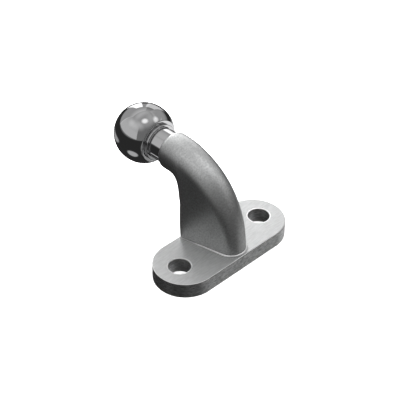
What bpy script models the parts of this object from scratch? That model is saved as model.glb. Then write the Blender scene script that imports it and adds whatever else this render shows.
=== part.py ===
# Two-bolt flange tow ball on a curved neck, in metres.
# The mounting face lies on Z = 0, the bolts stand along X and the ball points along +Y.

import math

import bmesh
import bpy

MM = 0.001

# Flange plate
BOLT_SPACING = 90.0 * MM
BOLT_HOLE_DIAMETER = 18.0 * MM
BOLT_HOLE_CHAMFER = 0.3 * MM
PLATE_OVERHANG = 20.0 * MM  # from a bolt's centre to the plate's end
PLATE_WIDTH = 52.6 * MM
PLATE_THICKNESS = 13.4 * MM
PLATE_EDGE_ROUND = 0.7 * MM

# Coupling ball, collar and neck: each step is on the radius
BALL_DIAMETER = 50.0 * MM
BALL_REACH = 88.0 * MM  # ball centre, forward of the bolt line
BALL_HEIGHT = 74.5 * MM  # ball centre, above the mounting face
BALL_CROWN_DIAMETER = 14.0 * MM  # flat on the far side of the ball
NECK_DIAMETER = 27.0 * MM
NECK_LENGTH = 12.2 * MM
NECK_GROOVE_WIDTH = 0.7 * MM
NECK_GROOVE_DEPTH = 0.5 * MM
COLLAR_STEP = 2.2 * MM  # from the neck out to the collar's rim
COLLAR_LENGTH = 2.6 * MM
BALL_SEAT_STEP = 2.6 * MM  # from the collar out to the rim of the ball's flat seat
BALL_THREAD_STEP = 4.5 * MM  # from the neck in to the thread that holds the ball
BALL_THREAD_LENGTH = 26.0 * MM
ARM_THREAD_STEP = 3.5 * MM  # from the neck in to the thread that holds the arm
ARM_THREAD_LENGTH = 28.0 * MM
TURNED_EDGE = 0.5 * MM

# Gooseneck arm: a foot with a round back and two front corners, lofted into a round shoulder
FOOT_FRONT_SETBACK = 0.1 * MM  # foot's front, inside the plate's front edge
FOOT_BACK_SETBACK = 2.5 * MM  # foot's back, inside the plate's back edge
FOOT_BACK_RADIUS = 11.8 * MM
FOOT_FRONT_WIDTH = 40.8 * MM
FOOT_CORNER_RADIUS = 2.2 * MM
ARM_END_LAND = 0.6 * MM  # flat ring of the arm's end, outside the neck
SHOULDER_STEP = 1.6 * MM  # from that ring out to the shoulder's full radius
SHOULDER_LENGTH = 3.2 * MM  # rounded end of the arm, where the neck stands on it
SPINE_RISE = 44.3 * MM  # upright handle of the back's curve, at the foot
SPINE_RUN = 31.3 * MM  # level handle of the same curve, at the shoulder
FRONT_LEAN = 2.7 * MM  # how far the front leans out between the foot and the knee
KNEE_RADIUS = 17.6 * MM  # bend between the front and the arm's underside
WIDTH_ENDS = 0.97  # share of the arm over which the foot's width eases into the shoulder's
CORNERS_HOLD = 0.55  # the front corners stay tight over this share of the arm
CORNERS_END = 0.87  # and are part of the round arm here

# Foot joint: screws from below, dowels and a sealing bead
SCREW_DIAMETER = 8.0 * MM
SCREW_HEAD_DIAMETER = 16.0 * MM
SCREW_HEAD_LAND = 0.5 * MM
SCREW_LENGTH = 30.0 * MM
SCREW_RECESS = 0.5 * MM  # head below the mounting face
SCREW_SOCKET = 5.0 * MM  # hexagon across its flats
SCREW_SOCKET_DEPTH = 2.8 * MM
SCREW_WEB = 2.0 * MM  # between the heads of the two front screws
SCREW_FRONT_INSET = 13.0 * MM  # front screws, inside the foot's front
DOWEL_DIAMETER = 6.0 * MM
DOWEL_LENGTH = 18.0 * MM
DOWEL_SPACING = 14.0 * MM
DOWEL_IN_PLATE = 8.0 * MM
BEAD_LEG = 1.2 * MM
BEAD_END_SHARE = 0.4  # leg of the bead at its two front ends

# Spring pin through the arm and the stud, driven from below
PIN_DIAMETER = 5.0 * MM
PIN_WALL = 1.0 * MM
PIN_EDGE = 0.3 * MM
PIN_SLOT = 1.2 * MM
PIN_FROM_ARM_END = 11.0 * MM
PIN_RECESS = 0.8 * MM  # pin's lower end, inside the arm's underside
PIN_COVER = 5.0 * MM  # metal left above the pin

# Clearances
SEAT_GAP = 0.2 * MM
FIT_GAP = 0.2 * MM  # on the radius
HOLE_END_GAP = 0.4 * MM
THROUGH = 3.0 * MM  # how far a cutter runs past a face
WELD = 0.001 * MM  # points nearer than this are one
DRILL_POINT = 0.5  # height of a drilled hole's cone, for each unit of its radius

# Facets
BALL_SEGMENTS = 48
BALL_ARC_STEPS = 18
SHAFT_SEGMENTS = 40
SMALL_SEGMENTS = 24
PLATE_END_STEPS = 28
PLATE_EDGE_STEPS = 2
ARM_RINGS = 26
ARM_RING_POINTS = 44
SHOULDER_STEPS = 4
ARC_SAMPLES = 24
CURVE_SAMPLES = 80
BEAD_ARC_STEPS = 4
FLAT_ANGLE = math.radians(1)  # faces that meet at less than this are one flat
SHARP_ANGLE = math.radians(40)

# Finishes, each a grey and a roughness
FINISHES = {
    "polished_chrome": (0.80, 0.06),
    "blasted_steel": (0.42, 0.42),
    "satin_steel": (0.66, 0.33),
    "black_oxide_steel": (0.06, 0.45),
    "ground_steel": (0.55, 0.25),
    "spring_steel": (0.30, 0.35),
}

# Radii and places worked out from the sizes above
NECK_RADIUS = NECK_DIAMETER / 2
COLLAR_RADIUS = NECK_RADIUS + COLLAR_STEP
BALL_SEAT_RADIUS = COLLAR_RADIUS + BALL_SEAT_STEP
BALL_THREAD_RADIUS = NECK_RADIUS - BALL_THREAD_STEP
ARM_THREAD_RADIUS = NECK_RADIUS - ARM_THREAD_STEP
ARM_END_RADIUS = NECK_RADIUS + ARM_END_LAND
SHOULDER_RADIUS = ARM_END_RADIUS + SHOULDER_STEP
BALL_RADIUS = BALL_DIAMETER / 2
CROWN_RADIUS = BALL_CROWN_DIAMETER / 2
SEAT_DEPTH = math.sqrt(BALL_RADIUS**2 - BALL_SEAT_RADIUS**2)
CROWN_DEPTH = math.sqrt(BALL_RADIUS**2 - CROWN_RADIUS**2)
COLLAR_FRONT = -SEAT_DEPTH - SEAT_GAP
COLLAR_BACK = COLLAR_FRONT - COLLAR_LENGTH
NECK_FRONT = COLLAR_BACK - SEAT_GAP
NECK_BACK = NECK_FRONT - NECK_LENGTH
PLATE_LENGTH = BOLT_SPACING + 2 * PLATE_OVERHANG
PLATE_TOP = PLATE_THICKNESS
ARM_BASE = PLATE_TOP + SEAT_GAP
ARM_END = BALL_REACH + NECK_BACK - SEAT_GAP
SHOULDER = ARM_END - SHOULDER_LENGTH
UNDERSIDE = BALL_HEIGHT - SHOULDER_RADIUS
FOOT_FRONT = PLATE_WIDTH / 2 - FOOT_FRONT_SETBACK
FOOT_BACK = -PLATE_WIDTH / 2 + FOOT_BACK_SETBACK
SPINE_FOOT = FOOT_BACK + FOOT_BACK_RADIUS
SCREW_SIDE = (SCREW_HEAD_DIAMETER + SCREW_WEB) / 2
SCREW_FRONT = FOOT_FRONT - SCREW_FRONT_INSET
SCREW_PLACES = {
    "foot_screw_front_left": (-SCREW_SIDE, SCREW_FRONT),
    "foot_screw_front_right": (SCREW_SIDE, SCREW_FRONT),
    "foot_screw_rear": (0.0, SPINE_FOOT),
}
DOWEL_LINE = (SCREW_FRONT + SPINE_FOOT) / 2
DOWEL_PLACES = {
    "dowel_pin_left": (-DOWEL_SPACING / 2, DOWEL_LINE),
    "dowel_pin_right": (DOWEL_SPACING / 2, DOWEL_LINE),
}
PIN_PLACE = ARM_END - PIN_FROM_ARM_END
PIN_TOP = BALL_HEIGHT + SHOULDER_RADIUS - PIN_COVER
PIN_BOTTOM = UNDERSIDE + PIN_RECESS
BALL_CENTRE = (0.0, BALL_REACH, BALL_HEIGHT)
ALONG_Y = (-math.pi / 2, 0.0, 0.0)  # turns a piece made along +Z to lie along +Y


def clear_scene():
    for old in list(bpy.data.objects):
        bpy.data.objects.remove(old, do_unlink=True)


def new_collection(name):
    made = bpy.data.collections.new(name)
    bpy.context.scene.collection.children.link(made)
    return made


def finish(name, grey, roughness):
    """A bare or plated metal of one grey."""
    made = bpy.data.materials.new(name)
    made.use_nodes = True
    shader = made.node_tree.nodes["Principled BSDF"]
    shader.inputs["Base Color"].default_value = (grey, grey, grey, 1.0)
    shader.inputs["Metallic"].default_value = 1.0
    shader.inputs["Roughness"].default_value = roughness
    return made


def add(name, mesh, collection, material=None):
    made = bpy.data.objects.new(name, mesh)
    collection.objects.link(made)
    if material:
        mesh.materials.append(material)
    return made


def as_cutter(piece):
    piece.hide_render = True
    piece.display_type = "WIRE"
    return piece


def primitive_cutter(name, cutters):
    """Names the primitive that was just added and keeps it with the cutters."""
    piece = as_cutter(bpy.context.object)
    piece.name = name
    for held in list(piece.users_collection):
        held.objects.unlink(piece)
    cutters.objects.link(piece)
    return piece


def cut(piece, cutter):
    boolean = piece.modifiers.new(cutter.name, "BOOLEAN")
    boolean.operation = "DIFFERENCE"
    boolean.solver = "EXACT"
    boolean.object = cutter


def turned(name, profile, segments, collection, material=None, ring=False):
    """Turns (radius, height) points about Z. They run down the outer side, and a ring's outline closes."""
    mesh = bpy.data.meshes.new(name)
    points = [(radius, 0.0, height) for radius, height in profile]
    edges = [(i, i + 1) for i in range(len(points) - 1)]
    if ring:
        edges.append((len(points) - 1, 0))
    mesh.from_pydata(points, edges, [])
    made = add(name, mesh, collection, material)
    screw = made.modifiers.new("turn", "SCREW")
    screw.steps = segments
    screw.render_steps = segments
    screw.use_merge_vertices = True
    screw.merge_threshold = WELD
    screw.use_smooth_shade = True
    return made


def on_ball_axis(piece):
    piece.location = BALL_CENTRE
    piece.rotation_euler = ALONG_Y
    return piece


def loft(name, rings, collection, material):
    """Joins rings of equal count with quads and closes both ends."""
    shape = bmesh.new()
    loops = [[shape.verts.new(point) for point in ring] for ring in rings]
    count = len(loops[0])
    for near, far in zip(loops, loops[1:]):
        for i in range(count):
            side = shape.faces.new((near[i], near[i - 1], far[i - 1], far[i]))
            side.smooth = True
    shape.faces.new(loops[0])
    shape.faces.new(reversed(loops[-1]))
    bmesh.ops.recalc_face_normals(shape, faces=shape.faces)
    mesh = bpy.data.meshes.new(name)
    shape.to_mesh(mesh)
    shape.free()
    return add(name, mesh, collection, material)


def spread(first, last, steps):
    return [first + (last - first) * i / steps for i in range(steps + 1)]


def bezier(points, t):
    s = 1.0 - t
    weights = (s**3, 3 * s * s * t, 3 * s * t * t, t**3)
    return tuple(sum(w * p[axis] for w, p in zip(weights, points)) for axis in (0, 1))


def mixed(first, last, share):
    return first + (last - first) * share


def eased(t, start, end):
    share = max(0.0, min(1.0, (t - start) / (end - start)))
    return share * share * (3.0 - 2.0 * share)


def picked(points, places, steps):
    """Points at equal steps of `places`, a rising number that belongs to each of `points`."""
    found = []
    at = 0
    for want in spread(places[0], places[-1], steps):
        while at < len(places) - 2 and places[at + 1] < want:
            at += 1
        gap = places[at + 1] - places[at]
        share = (want - places[at]) / gap if gap > 0.0 else 0.0
        found.append(tuple(mixed(points[at][axis], points[at + 1][axis], share) for axis in (0, 1)))
    return found


def lengths(points):
    run = [0.0]
    for near, far in zip(points, points[1:]):
        run.append(run[-1] + math.hypot(far[0] - near[0], far[1] - near[1]))
    return run


def arc(x, y, radius, first, last):
    """An arc of (x, forward, normal angle) points. An angle of 0 faces forward and pi faces back."""
    turns = spread(first, last, ARC_SAMPLES)
    return [(x + radius * math.sin(turn), y + radius * math.cos(turn), turn) for turn in turns]


def half_outline(back_radius, half_width, corner_radius, depth):
    """Half a section, from the middle of its back to the end of its corner.

    The back is an arc about the origin, the corner an arc beside the front, and a straight flank touches
    both.
    """
    corner_x = max(half_width - corner_radius, 0.0)
    corner_y = depth - corner_radius
    apart = math.hypot(corner_x, corner_y)
    flank = math.pi / 2
    if apart > WELD:
        slope = max(-1.0, min(1.0, (back_radius - corner_radius) / apart))
        flank = math.atan2(corner_x, corner_y) + math.acos(slope)
    back = arc(0.0, 0.0, back_radius, math.pi, flank)
    return back + arc(corner_x, corner_y, corner_radius, flank, 0.0)


def section(back_radius, half_width, corner_radius, depth):
    """A closed section of ARM_RING_POINTS points, shared out by length and by turning alike."""
    half = half_outline(back_radius, half_width, corner_radius, depth)
    half.append((0.0, depth, 0.0))
    run = lengths(half)
    places = [length / run[-1] + (math.pi - point[2]) / math.pi for length, point in zip(run, half)]
    right = picked(half, places, ARM_RING_POINTS // 2)
    right[0] = (0.0, -back_radius)
    right[-1] = (0.0, depth)
    return right + [(-x, y) for x, y in reversed(right[1:-1])]


def plate_outline():
    """A stadium, run round from the front of its right end."""
    radius = PLATE_WIDTH / 2
    centre = PLATE_LENGTH / 2 - radius
    points = []
    for side in (1, -1):
        for turn in spread(-math.pi / 2, math.pi / 2, PLATE_END_STEPS):
            points.append((side * (centre + radius * math.cos(turn)), side * radius * math.sin(turn)))
    return points


def flange_plate(hitch, steel):
    outline = bpy.data.curves.new("flange_outline", "CURVE")
    outline.dimensions = "2D"
    outline.fill_mode = "BOTH"
    outline.extrude = PLATE_THICKNESS / 2
    points = plate_outline()
    spline = outline.splines.new("POLY")
    spline.points.add(len(points) - 1)
    spline.use_cyclic_u = True
    for point, (x, y) in zip(spline.points, points):
        point.co = (x, y, 0.0, 1.0)
    drawn = add("flange_outline", outline, hitch)
    drawn.location.z = PLATE_THICKNESS / 2
    bpy.context.view_layer.update()
    evaluated = drawn.evaluated_get(bpy.context.evaluated_depsgraph_get())
    mesh = bpy.data.meshes.new_from_object(evaluated)
    shape = bmesh.new()
    shape.from_mesh(mesh)
    bmesh.ops.remove_doubles(shape, verts=shape.verts, dist=WELD)
    bmesh.ops.dissolve_limit(shape, angle_limit=FLAT_ANGLE, verts=shape.verts, edges=shape.edges)
    shape.to_mesh(mesh)
    shape.free()
    mesh.shade_smooth()
    mesh.set_sharp_from_angle(angle=SHARP_ANGLE)
    plate = add("flange_plate", mesh, hitch, steel)
    plate.matrix_world = drawn.matrix_world
    bpy.data.objects.remove(drawn, do_unlink=True)
    bevel = plate.modifiers.new("edges", "BEVEL")
    bevel.width = PLATE_EDGE_ROUND
    bevel.segments = PLATE_EDGE_STEPS
    bevel.limit_method = "ANGLE"
    bevel.angle_limit = SHARP_ANGLE
    return plate


def bolt_hole(name, x, cutters):
    radius = BOLT_HOLE_DIAMETER / 2
    flare = radius + BOLT_HOLE_CHAMFER + THROUGH
    profile = [
        (0.0, PLATE_TOP + THROUGH),
        (flare, PLATE_TOP + THROUGH),
        (radius, PLATE_TOP - BOLT_HOLE_CHAMFER),
        (radius, BOLT_HOLE_CHAMFER),
        (flare, -THROUGH),
        (0.0, -THROUGH),
    ]
    hole = as_cutter(turned(name, profile, SHAFT_SEGMENTS, cutters))
    hole.location.x = x
    return hole


def arm_spine():
    """Centres of the arm's round back, from the foot to the shoulder, as (y, z)."""
    handles = [
        (SPINE_FOOT, ARM_BASE),
        (SPINE_FOOT, ARM_BASE + SPINE_RISE),
        (SHOULDER - SPINE_RUN, BALL_HEIGHT),
        (SHOULDER, BALL_HEIGHT),
    ]
    curve = [bezier(handles, t) for t in spread(0.0, 1.0, CURVE_SAMPLES)]
    return picked(curve, lengths(curve), ARM_RINGS)


def arm_front():
    """The arm's front and underside: up to the knee, round it, then level to the shoulder, as (y, z)."""
    front = FOOT_FRONT + FRONT_LEAN
    bend = min(KNEE_RADIUS, SHOULDER - front, UNDERSIDE - ARM_BASE)  # a fillet no larger than its walls
    line = [(FOOT_FRONT, ARM_BASE)]
    for turn in spread(0.0, math.pi / 2, CURVE_SAMPLES):
        line.append((front + bend * (1.0 - math.cos(turn)), UNDERSIDE - bend * (1.0 - math.sin(turn))))
    line.append((SHOULDER, UNDERSIDE))
    return picked(line, lengths(line), ARM_RINGS)


def gooseneck_arm(hitch, steel):
    rings = []
    for i, ((y, z), (front_y, front_z)) in enumerate(zip(arm_spine(), arm_front())):
        t = i / ARM_RINGS
        depth = math.hypot(front_y - y, front_z - z)
        along_y = (front_y - y) / depth
        along_z = (front_z - z) / depth
        back_radius = mixed(FOOT_BACK_RADIUS, SHOULDER_RADIUS, eased(t, 0.0, 1.0))
        half_width = mixed(FOOT_FRONT_WIDTH / 2, SHOULDER_RADIUS, eased(t, 0.0, WIDTH_ENDS))
        corner = mixed(FOOT_CORNER_RADIUS, back_radius, eased(t, CORNERS_HOLD, CORNERS_END))
        outline = section(back_radius, half_width, min(corner, half_width, depth), depth)
        rings.append([(x, y + along_y * out, z + along_z * out) for x, out in outline])
    for turn in spread(0.0, math.pi / 2, SHOULDER_STEPS)[1:]:
        radius = mixed(ARM_END_RADIUS, SHOULDER_RADIUS, math.cos(turn))
        y = SHOULDER + SHOULDER_LENGTH * math.sin(turn)
        circle = section(radius, radius, radius, radius)
        rings.append([(x, y, BALL_HEIGHT - down) for x, down in circle])
    return loft("gooseneck_arm", rings, hitch, steel)


def bead_path():
    """The foot's outline without its front, as (x, forward, normal angle, share of the full leg)."""
    depth = FOOT_FRONT - SPINE_FOOT
    half = half_outline(FOOT_BACK_RADIUS, FOOT_FRONT_WIDTH / 2, FOOT_CORNER_RADIUS, depth)
    back = half[: ARC_SAMPLES + 1]
    corner_start = half[ARC_SAMPLES + 1]
    right = [(*point, 1.0) for point in back] + [(*corner_start, BEAD_END_SHARE)]
    left = [(-x, y, -turn, share) for x, y, turn, share in reversed(right[1:])]
    return left + right


def foot_seal_bead(hitch, steel):
    """A bead in the corner between the plate and the foot, open along the foot's front."""
    rings = []
    for x, y, facing, share in bead_path():
        leg = BEAD_LEG * share
        quarter = [(0.0, 0.0)]
        for turn in spread(0.0, math.pi / 2, BEAD_ARC_STEPS):
            quarter.append((leg * math.cos(turn), leg * math.sin(turn)))
        ring = []
        for out, up in quarter:
            away = SEAT_GAP + out
            forward = SPINE_FOOT + y + away * math.cos(facing)
            ring.append((x + away * math.sin(facing), forward, ARM_BASE + up))
        rings.append(ring)
    return loft("foot_seal_bead", rings, hitch, steel)


def coupling_ball(hitch, chrome):
    bore = BALL_THREAD_RADIUS + FIT_GAP
    bore_end = NECK_FRONT + BALL_THREAD_LENGTH + HOLE_END_GAP
    first = math.atan2(CROWN_RADIUS, CROWN_DEPTH)
    last = math.pi - math.atan2(BALL_SEAT_RADIUS, SEAT_DEPTH - TURNED_EDGE)
    profile = [(0.0, CROWN_DEPTH)]
    for turn in spread(first, last, BALL_ARC_STEPS):
        profile.append((BALL_RADIUS * math.sin(turn), BALL_RADIUS * math.cos(turn)))
    profile += [
        (BALL_SEAT_RADIUS - TURNED_EDGE, -SEAT_DEPTH),
        (bore, -SEAT_DEPTH),
        (bore, bore_end),
        (0.0, bore_end + DRILL_POINT * bore),
    ]
    return on_ball_axis(turned("coupling_ball", profile, BALL_SEGMENTS, hitch, chrome))


def ball_collar(hitch, chrome):
    inner = BALL_THREAD_RADIUS + FIT_GAP
    profile = [
        (inner, COLLAR_FRONT),
        (COLLAR_RADIUS - TURNED_EDGE, COLLAR_FRONT),
        (COLLAR_RADIUS, COLLAR_FRONT - TURNED_EDGE),
        (COLLAR_RADIUS, COLLAR_BACK + TURNED_EDGE),
        (COLLAR_RADIUS - TURNED_EDGE, COLLAR_BACK),
        (inner, COLLAR_BACK),
    ]
    return on_ball_axis(turned("ball_collar", profile, BALL_SEGMENTS, hitch, chrome, ring=True))


def neck_stud(hitch, chrome):
    groove = NECK_RADIUS - NECK_GROOVE_DEPTH
    groove_back = NECK_FRONT - NECK_GROOVE_WIDTH
    ball_end = NECK_FRONT + BALL_THREAD_LENGTH
    arm_end = NECK_BACK - ARM_THREAD_LENGTH
    profile = [
        (0.0, ball_end),
        (BALL_THREAD_RADIUS - TURNED_EDGE, ball_end),
        (BALL_THREAD_RADIUS, ball_end - TURNED_EDGE),
        (BALL_THREAD_RADIUS, NECK_FRONT),
        (groove, NECK_FRONT),
        (groove, groove_back),
        (NECK_RADIUS, groove_back - NECK_GROOVE_DEPTH),
        (NECK_RADIUS, NECK_BACK + TURNED_EDGE),
        (NECK_RADIUS - TURNED_EDGE, NECK_BACK),
        (ARM_THREAD_RADIUS, NECK_BACK),
        (ARM_THREAD_RADIUS, arm_end + TURNED_EDGE),
        (ARM_THREAD_RADIUS - TURNED_EDGE, arm_end),
        (0.0, arm_end),
    ]
    return on_ball_axis(turned("neck_stud", profile, SHAFT_SEGMENTS, hitch, chrome))


def stud_bore(cutters):
    radius = ARM_THREAD_RADIUS + FIT_GAP
    mouth = NECK_BACK + THROUGH
    bottom = NECK_BACK - ARM_THREAD_LENGTH - HOLE_END_GAP
    profile = [(0.0, mouth), (radius, mouth), (radius, bottom), (0.0, bottom)]
    return as_cutter(on_ball_axis(turned("stud_bore", profile, SHAFT_SEGMENTS, cutters)))


def foot_screw(name, place, hitch, cutters, steel):
    shank = SCREW_DIAMETER / 2
    head = SCREW_HEAD_DIAMETER / 2
    land_top = SCREW_RECESS + SCREW_HEAD_LAND
    tip = SCREW_RECESS + SCREW_LENGTH
    profile = [
        (0.0, tip),
        (shank - TURNED_EDGE, tip),
        (shank, tip - TURNED_EDGE),
        (shank, land_top + head - shank),
        (head, land_top),
        (head, SCREW_RECESS),
        (0.0, SCREW_RECESS),
    ]
    screw = turned(name, profile, SMALL_SEGMENTS, hitch, steel)
    screw.location = (*place, 0.0)
    bpy.ops.mesh.primitive_cylinder_add(
        vertices=6,
        radius=SCREW_SOCKET / math.sqrt(3.0),
        depth=2 * SCREW_SOCKET_DEPTH,
        location=(*place, SCREW_RECESS),
    )
    cut(screw, primitive_cutter(name + "_socket", cutters))
    return screw


def screw_hole(name, place, cutters):
    shank = SCREW_DIAMETER / 2 + FIT_GAP
    head = SCREW_HEAD_DIAMETER / 2 + FIT_GAP
    land_top = SCREW_RECESS + SCREW_HEAD_LAND
    drilled = SCREW_RECESS + SCREW_LENGTH + HOLE_END_GAP
    profile = [
        (0.0, drilled + DRILL_POINT * shank),
        (shank, drilled),
        (shank, land_top + head - shank),
        (head, land_top),
        (head, -THROUGH),
        (0.0, -THROUGH),
    ]
    hole = as_cutter(turned(name, profile, SMALL_SEGMENTS, cutters))
    hole.location = (*place, 0.0)
    return hole


def dowel_pin(name, place, hitch, steel):
    radius = DOWEL_DIAMETER / 2
    bottom = PLATE_TOP - DOWEL_IN_PLATE
    top = bottom + DOWEL_LENGTH
    profile = [
        (0.0, top),
        (radius - TURNED_EDGE, top),
        (radius, top - TURNED_EDGE),
        (radius, bottom + TURNED_EDGE),
        (radius - TURNED_EDGE, bottom),
        (0.0, bottom),
    ]
    pin = turned(name, profile, SMALL_SEGMENTS, hitch, steel)
    pin.location = (*place, 0.0)
    return pin


def dowel_hole(name, place, cutters):
    radius = DOWEL_DIAMETER / 2 + FIT_GAP
    bottom = PLATE_TOP - DOWEL_IN_PLATE - HOLE_END_GAP
    top = PLATE_TOP - DOWEL_IN_PLATE + DOWEL_LENGTH + HOLE_END_GAP
    profile = [(0.0, top), (radius, top), (radius, bottom), (0.0, bottom)]
    hole = as_cutter(turned(name, profile, SMALL_SEGMENTS, cutters))
    hole.location = (*place, 0.0)
    return hole


def stud_lock_pin(hitch, cutters, steel):
    outer = PIN_DIAMETER / 2
    inner = outer - PIN_WALL
    profile = [
        (inner, PIN_TOP),
        (outer - PIN_EDGE, PIN_TOP),
        (outer, PIN_TOP - PIN_EDGE),
        (outer, PIN_BOTTOM + PIN_EDGE),
        (outer - PIN_EDGE, PIN_BOTTOM),
        (inner, PIN_BOTTOM),
    ]
    pin = turned("stud_lock_pin", profile, SMALL_SEGMENTS, hitch, steel, ring=True)
    pin.location.y = PIN_PLACE
    middle = (PIN_TOP + PIN_BOTTOM) / 2
    bpy.ops.mesh.primitive_cube_add(size=1.0, location=(0.0, PIN_PLACE + outer, middle))
    slot = primitive_cutter("pin_slot", cutters)
    slot.scale = (PIN_SLOT, PIN_DIAMETER, PIN_TOP - PIN_BOTTOM + 2 * THROUGH)
    cut(pin, slot)
    return pin


def pin_hole(cutters):
    radius = PIN_DIAMETER / 2 + FIT_GAP
    top = PIN_TOP + HOLE_END_GAP
    mouth = UNDERSIDE - THROUGH
    profile = [(0.0, top), (radius, top), (radius, mouth), (0.0, mouth)]
    hole = as_cutter(turned("pin_hole", profile, SMALL_SEGMENTS, cutters))
    hole.location.y = PIN_PLACE
    return hole


def main():
    clear_scene()
    hitch = new_collection("flange_tow_ball")
    cutters = new_collection("cutters")
    metal = {name: finish(name, *values) for name, values in FINISHES.items()}

    plate = flange_plate(hitch, metal["satin_steel"])
    arm = gooseneck_arm(hitch, metal["blasted_steel"])
    foot_seal_bead(hitch, metal["satin_steel"])
    stud = neck_stud(hitch, metal["polished_chrome"])
    ball_collar(hitch, metal["polished_chrome"])
    coupling_ball(hitch, metal["polished_chrome"])

    for side, name in ((-1, "bolt_hole_left"), (1, "bolt_hole_right")):
        cut(plate, bolt_hole(name, side * BOLT_SPACING / 2, cutters))
    cut(arm, stud_bore(cutters))
    for name, place in SCREW_PLACES.items():
        foot_screw(name, place, hitch, cutters, metal["black_oxide_steel"])
        hole = screw_hole(name + "_hole", place, cutters)
        cut(plate, hole)
        cut(arm, hole)
    for name, place in DOWEL_PLACES.items():
        dowel_pin(name, place, hitch, metal["ground_steel"])
        hole = dowel_hole(name + "_hole", place, cutters)
        cut(plate, hole)
        cut(arm, hole)
    stud_lock_pin(hitch, cutters, metal["spring_steel"])
    hole = pin_hole(cutters)
    cut(arm, hole)
    cut(stud, hole)


main()
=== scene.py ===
import math

import bmesh
import bpy
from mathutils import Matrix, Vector


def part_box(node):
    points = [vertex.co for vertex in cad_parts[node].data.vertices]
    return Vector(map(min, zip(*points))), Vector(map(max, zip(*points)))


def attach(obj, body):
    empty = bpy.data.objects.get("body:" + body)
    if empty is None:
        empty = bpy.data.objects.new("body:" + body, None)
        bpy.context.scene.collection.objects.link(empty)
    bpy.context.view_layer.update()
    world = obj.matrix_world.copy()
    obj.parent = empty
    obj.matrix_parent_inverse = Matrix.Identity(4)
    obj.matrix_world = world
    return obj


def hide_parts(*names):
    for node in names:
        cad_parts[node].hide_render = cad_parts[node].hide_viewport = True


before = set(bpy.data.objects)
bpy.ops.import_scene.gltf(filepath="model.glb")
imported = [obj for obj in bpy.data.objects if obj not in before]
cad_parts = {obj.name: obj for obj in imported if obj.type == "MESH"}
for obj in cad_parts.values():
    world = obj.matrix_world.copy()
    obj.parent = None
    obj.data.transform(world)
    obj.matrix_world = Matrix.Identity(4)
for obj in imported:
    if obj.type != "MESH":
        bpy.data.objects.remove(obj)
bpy.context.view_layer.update()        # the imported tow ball, in metres, mounting face on Z = 0
mm = 0.001
print("frame:", len(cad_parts), "nodes")


# Mesh helpers

def spread(first, last, steps):
    return [first + (last - first) * i / steps for i in range(steps + 1)]


def mix(first, last, share):
    return first + (last - first) * share


def ease(t, start, end):
    share = max(0.0, min(1.0, (t - start) / (end - start)))
    return share * share * (3 - 2 * share)


def bend(start, corner, end, steps):
    start, corner, end = Vector(start), Vector(corner), Vector(end)
    return [start * (1 - t) ** 2 + corner * 2 * t * (1 - t) + end * t * t for t in spread(0, 1, steps)]


softEdge = {"steps": 4, "most": 0.4, "guard": 0.05}        # most and guard are shares of the shorter side


def rounded(points, radius, closed=False):
    made = []
    for i, point in enumerate(points):
        here = Vector(point)
        if not closed and i in (0, len(points) - 1):
            made.append(here)
            continue
        before = Vector(points[i - 1]) - here
        after = Vector(points[(i + 1) % len(points)]) - here
        room = min(before.length, after.length)
        cut = min(radius, softEdge["most"] * room)
        guard = cut + softEdge["guard"] * room        # a loop here keeps the flats flat in the shading
        before.normalize()
        after.normalize()
        made.append(here + before * guard)
        made += bend(here + before * cut, here, here + after * cut, softEdge["steps"])
        made.append(here + after * guard)
    return made


def skin(bm, rings, closed=False):
    loops = [[bm.verts.new(point) for point in ring] for ring in rings]
    pairs = list(zip(loops, loops[1:]))
    if closed:
        pairs.append((loops[-1], loops[0]))
    for near, far in pairs:
        for i in range(len(near)):
            bm.faces.new((near[i - 1], near[i], far[i], far[i - 1])).smooth = True
    return loops[0], loops[-1]


def lid(bm, *loops):        # one flat face, with holes where it gets more than one loop
    outline = [bm.edges.get((loop[i - 1], loop[i])) for loop in loops for i in range(len(loop))]
    bmesh.ops.triangle_fill(bm, use_beauty=True, edges=outline)


def ringUp(place, radius, z, steps):        # a circle about an upright axis
    turns = [math.tau * i / steps for i in range(steps)]
    return [(place[0] + radius * math.cos(a), place[1] + radius * math.sin(a), z) for a in turns]


def ringAlong(radius, along, steps):        # a circle about the ball's axis, which runs along +Y
    turns = [math.tau * i / steps for i in range(steps)]
    y = ballCentre.y + along
    return [(ballCentre.x + radius * math.cos(a), y, ballCentre.z + radius * math.sin(a)) for a in turns]


def addPiece(name, bm, finish, node):
    bmesh.ops.recalc_face_normals(bm, faces=bm.faces)
    mesh = bpy.data.meshes.new(name)
    bm.to_mesh(mesh)
    bm.free()
    mesh.materials.append(finish)
    made = bpy.data.objects.new(name, mesh)
    bpy.context.scene.collection.objects.link(made)
    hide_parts(node)
    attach(made, "root")
    return made


# Material helpers

def linear(hexColour):        # the sRGB curve
    parts = [int(hexColour[i:i + 2], 16) / 255 for i in (1, 3, 5)]
    return [p / 12.92 if p <= 0.04045 else ((p + 0.055) / 1.055) ** 2.4 for p in parts] + [1.0]


def addNode(tree, kind, links=None, values=None, **settings):
    node = tree.nodes.new(kind)
    for name, value in settings.items():
        setattr(node, name, value)
    for socket, value in (values or {}).items():
        node.inputs[socket].default_value = value
    for socket, source in (links or {}).items():
        tree.links.new(source, node.inputs[socket])
    return node


def startMetal(name, colour, roughness):
    material = bpy.data.materials.new(name)
    material.use_nodes = True
    shader = material.node_tree.nodes["Principled BSDF"]
    shader.inputs["Base Color"].default_value = linear(colour)
    shader.inputs["Metallic"].default_value = 1.0
    shader.inputs["Roughness"].default_value = roughness
    return material, material.node_tree, shader


# Hard chrome over turned and polished steel: a mirror, with a faint haze in patches of about 7 mm
chrome = {"colour": "#d3d3d4", "roughness": (0.035, 0.06), "hazeMm": 7.0, "hazeDetail": 3.0}


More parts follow.
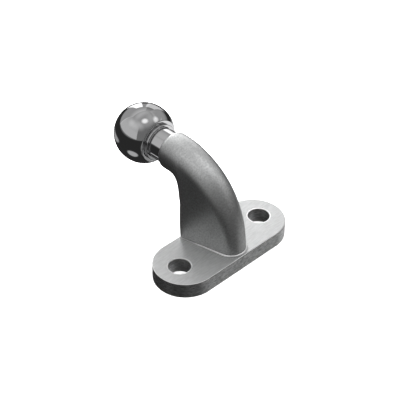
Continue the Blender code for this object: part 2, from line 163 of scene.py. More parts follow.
def polishedChrome():
    material, tree, shader = startMetal("polishedChrome", chrome["colour"], chrome["roughness"][0])
    where = addNode(tree, "ShaderNodeTexCoord")
    haze = addNode(tree, "ShaderNodeTexNoise", {"Vector": where.outputs["Object"]},
                   {"Scale": 1 / (chrome["hazeMm"] * mm), "Detail": chrome["hazeDetail"]})
    gloss = addNode(tree, "ShaderNodeMapRange", {"Value": haze.outputs["Fac"]},
                    {"To Min": chrome["roughness"][0], "To Max": chrome["roughness"][1]})
    tree.links.new(gloss.outputs["Result"], shader.inputs["Roughness"])
    return material


# Drop-forged steel, shot blasted and zinc plated: a soft grey sheen over a fine, even peened grain.
# Shot of 0.3 mm leaves dents too fine for the render, so they are drawn about four times as wide.
blasted = {"name": "blastedForgedSteel", "colours": ("#b0b1b1", "#c8c9c9"), "roughness": (0.38, 0.47),
           "grainMm": (1.3, 1.3, 1.3), "dentMm": 0.03}
# Rolled steel plate, belt ground along its length and plated: a pale satin with faint lengthwise streaks,
# and a near-white painted highlight along its rounded edges.
# Belt scratches are under 0.1 mm, so they are drawn about ten times as wide.
ground = {"name": "satinGroundSteel", "colours": ("#bebfbf", "#cacbcb"), "roughness": (0.50, 0.57),
          "grainMm": (7.0, 1.1, 1.1), "dentMm": 0.004, "paintedEdge": "#fdfdfd"}
# Sawn side of the same plate, plated over saw marks about 1 mm apart: darker, with flecks and a dark grey
# painted shade along its rounded edges
sawn = {"name": "sawnPlatedSteel", "colours": ("#9c9d9d", "#d4d5d5"), "roughness": (0.36, 0.48),
        "grainMm": (3.4, 3.4, 1.0), "dentMm": 0.045, "paintedEdge": "#6c6d6d"}
# Drilled bolt hole, plated over the drill's rings, about 1 mm apart: duller than the faces, with a
# near-white painted highlight at its rounded rims
drilled = {"name": "drilledSteel", "colours": ("#a8a9a9", "#d4d5d5"), "roughness": (0.40, 0.52),
           "grainMm": (4.0, 4.0, 1.0), "dentMm": 0.04, "paintedEdge": "#fdfdfd"}
# Seal bead and the ring round each bolt hole, brushed: a pale tone that paints a highlight along them, the
# palest lines on the part.
# Brush marks are under 0.1 mm, so they are drawn as a grain of 1.5 mm.
brushedHighlight = {"name": "brushedHighlightSteel", "colours": ("#e6e6e6", "#f8f8f8"), "roughness": (0.30, 0.38),
           "grainMm": (1.5, 1.5, 1.5), "dentMm": 0.01}
grainNoise = {"Scale": 1.0, "Detail": 2.0, "Roughness": 0.6}
grainSpan = (0.32, 0.68)        # noise seldom leaves this range, so it is stretched to full contrast
paintedEdgeSpan = (0.02, 0.16)        # lean from level or upright where an edge's painted highlight or painted shade begins, and where it is full
mostLean = 0.5        # a normal's slope folds back here, so level and upright both count as no lean


def grainedSteel(look):
    material, tree, shader = startMetal(look["name"], look["colours"][0], look["roughness"][0])
    where = addNode(tree, "ShaderNodeTexCoord")
    sized = addNode(tree, "ShaderNodeVectorMath", {0: where.outputs["Object"]}, operation="MULTIPLY")
    sized.inputs[1].default_value = [1 / (size * mm) for size in look["grainMm"]]
    noise = addNode(tree, "ShaderNodeTexNoise", {"Vector": sized.outputs["Vector"]}, grainNoise)
    grain = addNode(tree, "ShaderNodeMapRange", {"Value": noise.outputs["Fac"]},
                    {"From Min": grainSpan[0], "From Max": grainSpan[1]}).outputs["Result"]
    tone = addNode(tree, "ShaderNodeMix", {"Factor": grain}, data_type="RGBA")
    tone.inputs["A"].default_value = linear(look["colours"][0])
    tone.inputs["B"].default_value = linear(look["colours"][1])
    # a rounded edge's tone is mixed towards a painted highlight or a painted shade, as its look sets
    if "paintedEdge" in look:        # only a rounded edge of the plate is neither level nor upright
        slope = addNode(tree, "ShaderNodeSeparateXYZ", {"Vector": where.outputs["Normal"]})
        lean = addNode(tree, "ShaderNodeMath", {0: slope.outputs["Z"]}, {1: mostLean}, operation="PINGPONG")
        edge = addNode(tree, "ShaderNodeMapRange", {"Value": lean.outputs["Value"]},
                       {"From Min": paintedEdgeSpan[0], "From Max": paintedEdgeSpan[1]})
        links = {"Factor": edge.outputs["Result"], "A": tone.outputs["Result"]}
        tone = addNode(tree, "ShaderNodeMix", links, data_type="RGBA")
        tone.inputs["B"].default_value = linear(look["paintedEdge"])
    gloss = addNode(tree, "ShaderNodeMapRange", {"Value": grain},
                    {"To Min": look["roughness"][1], "To Max": look["roughness"][0]})
    dents = addNode(tree, "ShaderNodeBump", {"Height": grain},
                    {"Strength": 1.0, "Distance": look["dentMm"] * mm})
    tree.links.new(tone.outputs["Result"], shader.inputs["Base Color"])
    tree.links.new(gloss.outputs["Result"], shader.inputs["Roughness"])
    tree.links.new(dents.outputs["Normal"], shader.inputs["Normal"])
    return material


# Small steel parts, all with soft clouds of about 2 mm
smallSteels = {
    # Screws, black oxide from a hot bath: near black with a dull sheen
    "black_oxide_steel": {"name": "blackOxideSteel", "colours": ("#2a2a2b", "#39393a"),
                          "roughness": (0.36, 0.5)},
    # Dowels, centreless ground: bright, with an even gloss
    "ground_steel": {"name": "centrelessGroundSteel", "colours": ("#b6b7b8", "#c4c5c6"),
                     "roughness": (0.16, 0.26)},
    # Spring pin, rolled from strip and tempered: a brownish grey
    "spring_steel": {"name": "temperedSpringSteel", "colours": ("#77736c", "#8b8780"),
                     "roughness": (0.26, 0.38)},
}
clouds = {"sizeMm": 2.0, "detail": 3.0}


def smallSteel(look):
    material, tree, shader = startMetal(look["name"], look["colours"][0], look["roughness"][0])
    where = addNode(tree, "ShaderNodeTexCoord")
    cloud = addNode(tree, "ShaderNodeTexNoise", {"Vector": where.outputs["Object"]},
                    {"Scale": 1 / (clouds["sizeMm"] * mm), "Detail": clouds["detail"]})
    tone = addNode(tree, "ShaderNodeMix", {"Factor": cloud.outputs["Fac"]}, data_type="RGBA")
    tone.inputs["A"].default_value = linear(look["colours"][0])
    tone.inputs["B"].default_value = linear(look["colours"][1])
    gloss = addNode(tree, "ShaderNodeMapRange", {"Value": cloud.outputs["Fac"]},
                    {"To Min": look["roughness"][0], "To Max": look["roughness"][1]})
    tree.links.new(tone.outputs["Result"], shader.inputs["Base Color"])
    tree.links.new(gloss.outputs["Result"], shader.inputs["Roughness"])
    return material


chromeFinish = polishedChrome()
armFinish = grainedSteel(blasted)
plateFinish = grainedSteel(ground)
sideFinish = grainedSteel(sawn)
holeFinish = grainedSteel(drilled)
beadFinish = grainedSteel(brushedHighlight)
print("materials:", len(bpy.data.materials))


# Coupling ball, turned from bar and polished
ball = {"diameter": 50.0 * mm, "crownFlat": 14.0 * mm, "seatFlat": 36.6 * mm, "seatEdge": 0.5 * mm,
        "seatGuard": 0.75 * mm, "bore": 18.4 * mm, "boreDepth": 23.4 * mm, "steps": 192, "arcSteps": 110}
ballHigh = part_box("coupling_ball")[1]
neckLow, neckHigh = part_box("neck_stud")
ballRadius = ball["diameter"] / 2
crownRadius = ball["crownFlat"] / 2
crownDepth = math.sqrt(ballRadius ** 2 - crownRadius ** 2)
ballCentre = Vector((0.0, ballHigh.y - crownDepth, (neckLow.z + neckHigh.z) / 2))


def makeBall():
    seatRadius = ball["seatFlat"] / 2
    seatDepth = math.sqrt(ballRadius ** 2 - seatRadius ** 2)
    first = math.asin(crownRadius / ballRadius)
    last = math.pi - math.asin(seatRadius / ballRadius) - ball["seatEdge"] / ballRadius
    profile = [Vector((ballRadius * math.sin(a), ballRadius * math.cos(a)))
               for a in spread(first, last, ball["arcSteps"])]
    seatIn = (seatRadius - ball["seatEdge"], -seatDepth)
    profile += bend(profile[-1], (seatRadius, -seatDepth), seatIn, softEdge["steps"])[1:]
    bore = ball["bore"] / 2
    profile += [(seatRadius - ball["seatGuard"], -seatDepth), ((bore + seatRadius) / 2, -seatDepth)]
    profile += [(bore, -seatDepth), (bore, ball["boreDepth"] - seatDepth)]
    bm = bmesh.new()
    crown, boreEnd = skin(bm, [ringAlong(r, along, ball["steps"]) for r, along in profile])
    lid(bm, crown)
    lid(bm, boreEnd)
    return addPiece("towBall", bm, chromeFinish, "coupling_ball")


ballPiece = makeBall()


# Collar between the ball and the neck
collar = {"inner": 18.4 * mm, "edge": 0.45 * mm, "steps": 160}


def makeCollar():
    low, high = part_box("ball_collar")
    outer, inner = high.x, collar["inner"] / 2
    back, front = low.y - ballCentre.y, high.y - ballCentre.y
    corners = [(inner, front), (outer, front), (outer, back), (inner, back)]
    profile = rounded(corners, collar["edge"], closed=True)
    bm = bmesh.new()
    skin(bm, [ringAlong(r, along, collar["steps"]) for r, along in profile], closed=True)
    return addPiece("ballCollar", bm, chromeFinish, "ball_collar")


collarPiece = makeCollar()


# Neck, with a thread's plain core at each end and a relief groove beside the collar.
# The flat of each end is endShare of its core, and the rim round it is rounded.
neck = {"ballCore": 18.0 * mm, "armCore": 20.0 * mm, "grooveWidth": 0.7 * mm, "grooveDepth": 0.5 * mm,
        "edge": 0.25 * mm, "endShare": 0.9, "steps": 160}
seatGap = 0.2 * mm        # between pieces that are clamped together


def makeNeck():
    radius = neckHigh.x
    groove = radius - neck["grooveDepth"]
    ballEnd, armEnd = neckHigh.y - ballCentre.y, neckLow.y - ballCentre.y
    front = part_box("ball_collar")[0].y - seatGap - ballCentre.y
    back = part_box("gooseneck_arm")[1].y + seatGap - ballCentre.y
    grooveBack = front - neck["grooveWidth"]
    ballCore, armCore = neck["ballCore"] / 2, neck["armCore"] / 2
    share = neck["endShare"]
    corners = [(ballCore * share, ballEnd), (ballCore, ballEnd), (ballCore, front), (groove, front),
               (groove, grooveBack), (radius, grooveBack - neck["grooveDepth"]), (radius, back),
               (armCore, back), (armCore, armEnd), (armCore * share, armEnd)]
    bm = bmesh.new()
    profile = rounded(corners, neck["edge"])
    top, bottom = skin(bm, [ringAlong(r, along, neck["steps"]) for r, along in profile])
    lid(bm, top)
    lid(bm, bottom)
    return addPiece("neckStud", bm, chromeFinish, "neck_stud")


neckPiece = makeNeck()
print("turned pieces: ball, collar, neck")


# Screws and dowels that hold the arm's foot, and the holes that they need
joint = {"screwHole": 8.4 * mm, "headHole": 16.4 * mm, "headLand": 1.0 * mm, "screwDepth": 30.9 * mm,
         "dowelHole": 6.4 * mm, "dowelEnd": 0.4 * mm, "steps": 64}
screwNames = ("foot_screw_front_left", "foot_screw_front_right", "foot_screw_rear")
dowelNames = ("dowel_pin_left", "dowel_pin_right")


def placeOf(node):
    low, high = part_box(node)
    return (low + high) / 2


def blindHole(bm, place, radius, mouth, end):
    opening, bottom = skin(bm, [ringUp(place, radius, z, joint["steps"]) for z in (mouth, end)])
    lid(bm, bottom)
    return opening


# Flange plate: a stadium with eased edges and two chamfered bolt holes
plate = {"boltSpacing": 90.0 * mm, "boltHole": 18.0 * mm, "holeChamfer": 0.3 * mm, "edge": 0.7 * mm,
         "holeEdge": 0.1 * mm, "holeRim": 0.8 * mm, "rim": 2.0 * mm, "endSteps": 80, "holeSteps": 112,
         "guard": 0.4 * mm, "sideSlope": 0.5}
plateLow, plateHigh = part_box("flange_plate")


def stadium(inset, z):
    radius = plateHigh.y
    centre = plateHigh.x - radius
    ring = []
    for side in (1, -1):
        turns = spread(-math.pi / 2, math.pi / 2, plate["endSteps"])
        end = [(centre + (radius - inset) * math.cos(a), (radius - inset) * math.sin(a)) for a in turns]
        start, stop = end[0], end[-1]        # one more point at each keeps the shading flat
        end = [(start[0] - plate["guard"], start[1])] + end + [(stop[0] - plate["guard"], stop[1])]
        ring += [(side * x, side * y, z) for x, y in end]
    return ring


def makePlate():
    top, bottom = plateHigh.z, plateLow.z
    bm = bmesh.new()
    wall = rounded([(plate["rim"], top), (0.0, top), (0.0, bottom), (plate["rim"], bottom)], plate["edge"])
    upper, lower = skin(bm, [stadium(inset, z) for inset, z in wall])
    tops, bottoms = [upper], [lower]
    bolt, flare = plate["boltHole"] / 2, plate["boltHole"] / 2 + plate["holeChamfer"]
    bright = flare + plate["holeRim"]
    corners = [(bright, top), (flare, top), (bolt, top - plate["holeChamfer"]),
               (bolt, bottom + plate["holeChamfer"]), (flare, bottom), (bright, bottom)]
    for side in (-1, 1):
        place = (side * plate["boltSpacing"] / 2, 0.0)
        tube = [ringUp(place, r, z, plate["holeSteps"]) for r, z in rounded(corners, plate["holeEdge"])]
        upper, lower = skin(bm, tube)
        tops.append(upper)
        bottoms.append(lower)
    shank, head, land = joint["screwHole"] / 2, joint["headHole"] / 2, joint["headLand"]
    for name in screwNames:
        drill = [(shank, top), (shank, land + head - shank), (head, land), (head, bottom)]
        upper, lower = skin(bm, [ringUp(placeOf(name), r, z, joint["steps"]) for r, z in drill])
        tops.append(upper)
        bottoms.append(lower)
    for name in dowelNames:
        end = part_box(name)[0].z - joint["dowelEnd"]
        tops.append(blindHole(bm, placeOf(name), joint["dowelHole"] / 2, top, end))
    lid(bm, *tops)
    lid(bm, *bottoms)
    made = addPiece("flangePlate", bm, plateFinish, "flange_plate")
    places = {}
    for part, finish in {"side": sideFinish, "hole": holeFinish, "ring": beadFinish}.items():
        places[part] = len(made.data.materials)
        made.data.materials.append(finish)
    # upright faces are sawn or drilled, and each hole has a ring of painted highlight
    for face in made.data.polygons:
        reach = math.hypot(abs(face.center.x) - plate["boltSpacing"] / 2, face.center.y)
        if abs(face.normal.z) < plate["sideSlope"]:
            face.material_index = places["hole"] if reach < flare else places["side"]
        elif reach < bright:
            face.material_index = places["ring"]
    return made


platePiece = makePlate()


# Arm: a foot with a round back and two tight front corners, which becomes a round shoulder
arm = {"frontSetback": 0.1 * mm, "backRadius": 11.8 * mm, "frontWidth": 40.8 * mm, "corner": 2.2 * mm,
       "endLand": 0.6 * mm, "shoulderStep": 1.6 * mm, "shoulderLength": 3.2 * mm, "spineRise": 44.3 * mm,
       "spineRun": 31.3 * mm, "lean": 2.7 * mm, "knee": 17.6 * mm, "widthEnds": 0.97, "cornersHold": 0.55,
       "cornersEnd": 0.87, "rings": 110, "points": 128, "shoulderSteps": 12, "samples": 90,
       "curveSamples": 270, "touching": 0.001 * mm, "bore": 20.4 * mm, "boreDepth": 28.4 * mm}
armLow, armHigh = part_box("gooseneck_arm")
shoulderRadius = neckHigh.x + arm["endLand"] + arm["shoulderStep"]
shoulderY = armHigh.y - arm["shoulderLength"]
footFront = plateHigh.y - arm["frontSetback"]
spineFoot = armLow.y + arm["backRadius"]


def lengthsOf(points):
    run = [0.0]
    for near, far in zip(points, points[1:]):
        run.append(run[-1] + math.hypot(far[0] - near[0], far[1] - near[1]))
    return run


def evenly(points, places, steps):
    found, at = [], 0
    for want in spread(places[0], places[-1], steps):
        while at < len(places) - 2 and places[at + 1] < want:
            at += 1
        gap = places[at + 1] - places[at]
        share = (want - places[at]) / gap if gap > 0 else 0.0
        found.append(tuple(mix(points[at][k], points[at + 1][k], share) for k in (0, 1)))
    return found


def arcPoints(x, y, radius, first, last):        # (x, forward, normal angle), where 0 faces forward
    turns = spread(first, last, arm["samples"])
    return [(x + radius * math.sin(a), y + radius * math.cos(a), a) for a in turns]


def halfOutline(backRadius, halfWidth, corner, depth):
    cornerX = max(halfWidth - corner, 0.0)
    cornerY = depth - corner
    apart = math.hypot(cornerX, cornerY)
    flank = math.pi / 2
    if apart > arm["touching"]:        # otherwise the section is one circle
        slope = max(-1.0, min(1.0, (backRadius - corner) / apart))
        flank = math.atan2(cornerX, cornerY) + math.acos(slope)
    return arcPoints(0.0, 0.0, backRadius, math.pi, flank) + arcPoints(cornerX, cornerY, corner, flank, 0.0)


def section(backRadius, halfWidth, corner, depth):
    half = halfOutline(backRadius, halfWidth, corner, depth) + [(0.0, depth, 0.0)]
    run = lengthsOf(half)        # points are shared out by length and by turn, so tight corners get some too
    places = [length / run[-1] + (math.pi - point[2]) / math.pi for length, point in zip(run, half)]
    right = evenly(half, places, arm["points"] // 2)
    right[0], right[-1] = (0.0, -backRadius), (0.0, depth)
    return right + [(-x, y) for x, y in reversed(right[1:-1])]


def armSpine():
    handles = [(spineFoot, armLow.z), (spineFoot, armLow.z + arm["spineRise"]),
               (shoulderY - arm["spineRun"], ballCentre.z), (shoulderY, ballCentre.z)]
    curve = []
    for t in spread(0, 1, arm["curveSamples"]):
        weights = ((1 - t) ** 3, 3 * t * (1 - t) ** 2, 3 * t * t * (1 - t), t ** 3)
        curve.append(tuple(sum(w * p[k] for w, p in zip(weights, handles)) for k in (0, 1)))
    return evenly(curve, lengthsOf(curve), arm["rings"])


def armFront():
    front, under = footFront + arm["lean"], ballCentre.z - shoulderRadius
    line = [(footFront, armLow.z)]
    for a in spread(0, math.pi / 2, arm["curveSamples"]):
        line.append((front + arm["knee"] * (1 - math.cos(a)), under - arm["knee"] * (1 - math.sin(a))))
    line.append((shoulderY, under))
    return evenly(line, lengthsOf(line), arm["rings"])


def makeArm():
    rings = []
    for i, ((y, z), (frontY, frontZ)) in enumerate(zip(armSpine(), armFront())):
        t = i / arm["rings"]
        depth = math.hypot(frontY - y, frontZ - z)
        alongY, alongZ = (frontY - y) / depth, (frontZ - z) / depth
        back = mix(arm["backRadius"], shoulderRadius, ease(t, 0, 1))
        width = mix(arm["frontWidth"] / 2, shoulderRadius, ease(t, 0, arm["widthEnds"]))
        corner = mix(arm["corner"], back, ease(t, arm["cornersHold"], arm["cornersEnd"]))
        outline = section(back, width, min(corner, width, depth), depth)
        rings.append([(x, y + alongY * out, z + alongZ * out) for x, out in outline])
    endRadius = shoulderRadius - arm["shoulderStep"]
    for a in spread(0, math.pi / 2, arm["shoulderSteps"])[1:]:
        radius = mix(endRadius, shoulderRadius, math.cos(a))
        y = shoulderY + arm["shoulderLength"] * math.sin(a)
        rings.append([(x, y, ballCentre.z - down) for x, down in section(radius, radius, radius, radius)])
    bm = bmesh.new()
    sole, end = skin(bm, rings)
    soleLoops = [sole]
    shank = joint["screwHole"] / 2
    for name in screwNames:
        soleLoops.append(blindHole(bm, placeOf(name), shank, armLow.z, joint["screwDepth"]))
    for name in dowelNames:
        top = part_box(name)[1].z + joint["dowelEnd"]
        soleLoops.append(blindHole(bm, placeOf(name), joint["dowelHole"] / 2, armLow.z, top))
    lid(bm, *soleLoops)
    mouth = armHigh.y - ballCentre.y
    ends = (mouth, mouth - arm["boreDepth"])
    opening, bottom = skin(bm, [ringAlong(arm["bore"] / 2, along, joint["steps"]) for along in ends])
    lid(bm, bottom)
    lid(bm, end, opening)
    return addPiece("swanArm", bm, armFinish, "gooseneck_arm")


armPiece = makeArm()


# Cross hole for the spring pin, drilled through the arm and the neck's core from below
pinHole = {"clearance": 0.2 * mm, "above": 0.4 * mm, "below": 4.0 * mm, "weld": 0.001 * mm, "steps": 48}


def drillPinHole(*pieces):
    low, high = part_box("stud_lock_pin")
    place = placeOf("stud_lock_pin")
    bm = bmesh.new()
    radius = high.x + pinHole["clearance"]
    heights = (low.z - pinHole["below"], high.z + pinHole["above"])
    bottom, top = skin(bm, [ringUp(place, radius, z, pinHole["steps"]) for z in heights])
    lid(bm, bottom)
    lid(bm, top)
    bmesh.ops.recalc_face_normals(bm, faces=bm.faces)
    mesh = bpy.data.meshes.new("pinDrill")
    bm.to_mesh(mesh)
    bm.free()
    drill = bpy.data.objects.new("pinDrill", mesh)
    bpy.context.scene.collection.objects.link(drill)
    for piece in pieces:
        cut = piece.modifiers.new("pinHole", "BOOLEAN")
        cut.operation, cut.solver, cut.object = "DIFFERENCE", "EXACT", drill
        bpy.context.view_layer.update()
        depsgraph = bpy.context.evaluated_depsgraph_get()
        cutMesh = bpy.data.meshes.new_from_object(piece.evaluated_get(depsgraph))
        piece.modifiers.clear()
        bm = bmesh.new()        # the cut leaves faces of no area, which are welded shut
        bm.from_mesh(cutMesh)
        bmesh.ops.remove_doubles(bm, verts=bm.verts, dist=pinHole["weld"])
        bm.to_mesh(cutMesh)
        bm.free()
        piece.data = cutMesh
    bpy.data.objects.remove(drill, do_unlink=True)


drillPinHole(armPiece, neckPiece)


# Bead that seals the foot to the plate, open along the front
bead = {"leg": 1.2 * mm, "endShare": 0.4, "steps": 10}


def makeBead():
    depth = footFront - spineFoot
    half = halfOutline(arm["backRadius"], arm["frontWidth"] / 2, arm["corner"], depth)
    back, cornerStart = half[:arm["samples"] + 1], half[arm["samples"] + 1]
    right = [(*point, 1.0) for point in back] + [(*cornerStart, bead["endShare"])]
    left = [(-x, y, -a, share) for x, y, a, share in reversed(right[1:])]
    rings = []
    for x, y, facing, share in left + right:
        leg = bead["leg"] * share
        quarter = [(seatGap, 0.0)]
        turns = spread(0, math.pi / 2, bead["steps"])
        quarter += [(seatGap + leg * math.cos(a), leg * math.sin(a)) for a in turns]
        across, forward = math.sin(facing), math.cos(facing)
        rings.append([(x + out * across, spineFoot + y + out * forward, armLow.z + up)
                      for out, up in quarter])
    bm = bmesh.new()
    first, last = skin(bm, rings)
    lid(bm, first)
    lid(bm, last)
    return addPiece("footBead", bm, beadFinish, "foot_seal_bead")


beadPiece = makeBead()
print("flange, arm and bead made")


# Screws, dowels and pin keep their solids and get their own steels
smallParts = {"black_oxide_steel": screwNames, "ground_steel": dowelNames,
              "spring_steel": ("stud_lock_pin",)}
for slot, names in smallParts.items():
    finish = smallSteel(smallSteels[slot])
    for name in names:
        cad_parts[name].data.materials.clear()
        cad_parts[name].data.materials.append(finish)
print("small steel parts finished")


# Camera
view = {"azimuth": -44.4, "elevation": 38.1, "distance": 924.0 * mm, "aim": Vector((6.8, 30.2, 33.6)) * mm,
        "lens": 102.6, "sensor": 36.0}


def makeCamera():
    turn, rise = math.radians(view["azimuth"]), math.radians(view["elevation"])
    back = Vector((math.sin(turn) * math.cos(rise), -math.cos(turn) * math.cos(rise), math.sin(rise)))
    data = bpy.data.cameras.new("camera")
    data.lens, data.sensor_width = view["lens"], view["sensor"]
    camera = bpy.data.objects.new("camera", data)
    camera.location = view["aim"] + back * view["distance"]
    camera.rotation_mode = "QUATERNION"
    camera.rotation_quaternion = (-back).to_track_quat("-Z", "Y")
    bpy.context.scene.collection.objects.link(camera)
    bpy.context.scene.camera = camera


makeCamera()


# Studio: soft cards round the ball, in degrees as seen from it. A turn of 0 is +Y and 90 is +X.
# A panel stands upright and has square corners. A pool of light is oval and faces the ball.
# Mirror chrome and satin steel are lit apart, so a card has a strength for each that it lights.
# The neck and the collar also have three small cards of their own.
studio = {"distance": 1.6}
panels = {
    "backLeft": {"turn": 31, "width": 17, "rise": (-6, 33), "fade": 0.05, "chrome": 1.5, "steel": 5},
    "backRight": {"turn": 58, "width": 25, "rise": (-6, 34), "fade": 0.2, "chrome": 0.6, "steel": 1.5},
    "backWall": {"turn": 15, "width": 76, "rise": (2, 60), "fade": 0.15, "chrome": 0.2, "steel": 1.5},
    "leftWall": {"turn": -64, "width": 92, "rise": (7.5, 64), "fade": 0.04, "topFade": 0.8, "chrome": 0.4,
                 "steel": 0.3},
    "sideWash": {"turn": 95, "width": 60, "rise": (2, 58), "fade": 0.4, "chrome": 0.2, "steel": 0.5},
}
pools = {
    "backHigh": {"turn": 5, "width": 110, "rise": (38, 88), "fade": 0.8, "chrome": 0.2},
    "leftHigh": {"turn": -90, "width": 76, "rise": (34, 76), "fade": 0.95, "chrome": 0.3, "steel": 1},
    "topLamp": {"turn": -155, "width": 30, "rise": (65, 91), "fade": 0.7, "chrome": 0.9, "steel": 0.5},
    "topWash": {"turn": 150, "width": 90, "rise": (45, 125), "fade": 0.6, "chrome": 0.2, "steel": 0.5},
    "sideLamp": {"turn": 125, "width": 34, "rise": (37, 63), "fade": 0.8, "chrome": 0.8, "steel": 1},
    "sideHigh": {"turn": 120, "width": 60, "rise": (46, 86), "fade": 0.9, "chrome": 0.1, "steel": 1},
    "edgeStrip": {"turn": 138, "width": 70, "rise": (31, 37), "fade": 0.5, "chrome": 0.3, "steel": 2},
    "floorPatch": {"turn": -80, "width": 34, "rise": (-68, -40), "fade": 0.35, "chrome": 0.5, "steel": 0.1},
    "floorSliver": {"turn": -10, "width": 50, "rise": (-37, -21), "fade": 0.5, "chrome": 0.4},
    "floorRight": {"turn": 86, "width": 60, "rise": (-68, -12), "fade": 0.5, "chrome": 1, "steel": 0.8},
    "floorFront": {"turn": 140, "width": 64, "rise": (-58, -2), "fade": 0.5, "chrome": 1, "steel": 0.4},
    "cameraSide": {"turn": -165, "width": 80, "rise": (-54, 6), "fade": 0.5, "chrome": 0.3, "steel": 0.1},
    "neckStrip": {"turn": 50, "width": 18, "rise": (2, 40), "fade": 0.5, "neck": 0.7},
    "neckLine": {"turn": -30, "width": 9, "rise": (-49, -43), "fade": 0.6, "neck": 0.8},
    "neckGlint": {"turn": 0, "width": 9, "rise": (-59, -53), "fade": 0.6, "neck": 0.8},
}


def makeGroup(name, pieces):
    group = bpy.data.collections.new(name)
    for piece in pieces:
        group.objects.link(piece)
    return group


smallNodes = [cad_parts[name] for names in smallParts.values() for name in names]
litGroups = {
    "chrome": makeGroup("chromeParts", [ballPiece, collarPiece, neckPiece]),
    "neck": makeGroup("neckParts", [collarPiece, neckPiece]),
    "steel": makeGroup("steelParts", [platePiece, armPiece, beadPiece] + smallNodes),
}


def fadeCard(data, card):        # full in the middle, nothing at the rim
    data.use_nodes = True
    tree = data.node_tree
    where = addNode(tree, "ShaderNodeNewGeometry").outputs["Parametric"]
    centred = addNode(tree, "ShaderNodeVectorMath", {0: where}, operation="MULTIPLY_ADD")
    centred.inputs[1].default_value = (2, 2, 0)        # 0 to 1 across the card becomes -1 to 1
    centred.inputs[2].default_value = (-1, -1, 0)
    middle = centred.outputs["Vector"]
    if data.shape == "ELLIPSE":
        reach = addNode(tree, "ShaderNodeVectorMath", {0: middle}, operation="LENGTH").outputs["Value"]
    else:
        sides = addNode(tree, "ShaderNodeVectorMath", {0: middle}, operation="ABSOLUTE")
        parts = addNode(tree, "ShaderNodeSeparateXYZ", {"Vector": sides.outputs["Vector"]})
        links = {0: parts.outputs["X"], 1: parts.outputs["Y"]}
        reach = addNode(tree, "ShaderNodeMath", links, operation="MAXIMUM").outputs["Value"]
    falling = {"From Max": 1.0, "To Min": 1.0, "To Max": 0.0}
    glow = addNode(tree, "ShaderNodeMapRange", {"Value": reach}, {"From Min": 1 - card["fade"], **falling},
                   interpolation_type="SMOOTHSTEP")
    if "topFade" in card:        # a wall that is lit from its foot grows darker upwards
        height = addNode(tree, "ShaderNodeSeparateXYZ", {"Vector": where})
        fall = addNode(tree, "ShaderNodeMapRange", {"Value": height.outputs["Y"]},
                       {"From Min": 1 - card["topFade"], **falling}, interpolation_type="SMOOTHSTEP")
        links = {0: glow.outputs["Result"], 1: fall.outputs["Result"]}
        glow = addNode(tree, "ShaderNodeMath", links, operation="MULTIPLY")
    tree.links.new(glow.outputs[0], tree.nodes["Emission"].inputs["Strength"])


def addCard(name, card, upright, groupName):
    reach = studio["distance"]
    turn, low, high = (math.radians(angle) for angle in (card["turn"], *card["rise"]))
    level, up = Vector((math.sin(turn), math.cos(turn), 0.0)), Vector((0.0, 0.0, 1.0))
    data = bpy.data.lights.new(name, "AREA")
    data.size = 2 * reach * math.tan(math.radians(card["width"]) / 2)
    if upright:
        bottom, top = reach * math.tan(low), reach * math.tan(high)
        data.shape, data.size_y = "RECTANGLE", top - bottom
        facing, place = level, level * reach + up * (bottom + top) / 2
        area = data.size * data.size_y
    else:
        rise = (low + high) / 2
        data.shape, data.size_y = "ELLIPSE", 2 * reach * math.tan((high - low) / 2)
        facing = level * math.cos(rise) + up * math.sin(rise)
        place = facing * reach
        area = data.size * data.size_y * math.pi / 4
    data.energy = card[groupName] * math.pi * area
    fadeCard(data, card)
    lamp = bpy.data.objects.new(name, data)
    lamp.location = ballCentre + place
    lamp.rotation_mode = "QUATERNION"
    lamp.rotation_quaternion = (-facing).to_track_quat("-Z", "Y")
    lamp.visible_camera = False
    lamp.light_linking.receiver_collection = litGroups[groupName]
    bpy.context.scene.collection.objects.link(lamp)


for name, card in {**panels, **pools}.items():
    for groupName in litGroups:
        if groupName in card:
            addCard(name, card, name in panels, groupName)


# Room: grey above the horizon and dark below it for the metal to mirror, plain white behind for the camera
room = {"above": 0.2, "below": 0.03, "horizon": (0.04, 0.10), "behind": 1.0}


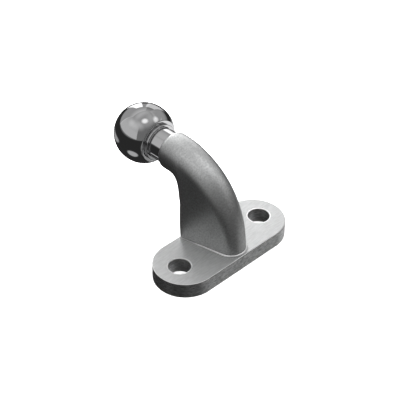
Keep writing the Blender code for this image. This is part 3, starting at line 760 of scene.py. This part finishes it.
def makeRoom():
    world = bpy.data.worlds.new("room")
    bpy.context.scene.world = world
    world.use_nodes = True
    tree = world.node_tree
    tree.nodes.clear()
    where = addNode(tree, "ShaderNodeTexCoord")
    parts = addNode(tree, "ShaderNodeSeparateXYZ", {"Vector": where.outputs["Generated"]})
    tone = addNode(tree, "ShaderNodeMapRange", {"Value": parts.outputs["Z"]},
                   {"From Min": room["horizon"][0], "From Max": room["horizon"][1], "To Min": room["below"],
                    "To Max": room["above"]}, interpolation_type="SMOOTHSTEP")
    plain = {"Color": (1, 1, 1, 1)}
    grey = addNode(tree, "ShaderNodeBackground", {"Strength": tone.outputs["Result"]}, plain)
    white = addNode(tree, "ShaderNodeBackground", None, {"Strength": room["behind"], **plain})
    path = addNode(tree, "ShaderNodeLightPath")
    seen = addNode(tree, "ShaderNodeMixShader", {0: path.outputs["Is Camera Ray"], 1: grey.outputs[0],
                                                 2: white.outputs[0]})
    addNode(tree, "ShaderNodeOutputWorld", {"Surface": seen.outputs[0]})


makeRoom()


# Floor: matt white paper, lit by a wide soft lamp of its own so that it stays plain
floor = {"side": 6.0, "colour": "#f4f4f4", "roughness": 1.0, "specular": 0.0, "gap": 0.3 * mm, "light": 10.0,
         "lampAngle": 110}


def makeFloor():
    bm = bmesh.new()
    half = floor["side"] / 2
    corners = [(-half, -half), (half, -half), (half, half), (-half, half)]
    bm.faces.new([bm.verts.new((x, y, plateLow.z - floor["gap"])) for x, y in corners])
    mesh = bpy.data.meshes.new("paperFloor")
    bm.to_mesh(mesh)
    bm.free()
    paper = bpy.data.materials.new("whitePaper")
    paper.use_nodes = True
    shader = paper.node_tree.nodes["Principled BSDF"]
    shader.inputs["Base Color"].default_value = linear(floor["colour"])
    shader.inputs["Roughness"].default_value = floor["roughness"]
    shader.inputs["Specular IOR Level"].default_value = floor["specular"]
    mesh.materials.append(paper)
    sheet = bpy.data.objects.new("paperFloor", mesh)
    sheet.visible_glossy = False
    sheet.visible_shadow = False
    bpy.context.scene.collection.objects.link(sheet)
    data = bpy.data.lights.new("floorLamp", "SUN")
    data.energy = floor["light"]
    data.angle = math.radians(floor["lampAngle"])
    lamp = bpy.data.objects.new("floorLamp", data)
    lamp.light_linking.receiver_collection = makeGroup("floorParts", [sheet])
    bpy.context.scene.collection.objects.link(lamp)


makeFloor()
bpy.context.scene.view_settings.view_transform = "Standard"
print("camera, studio and floor set")
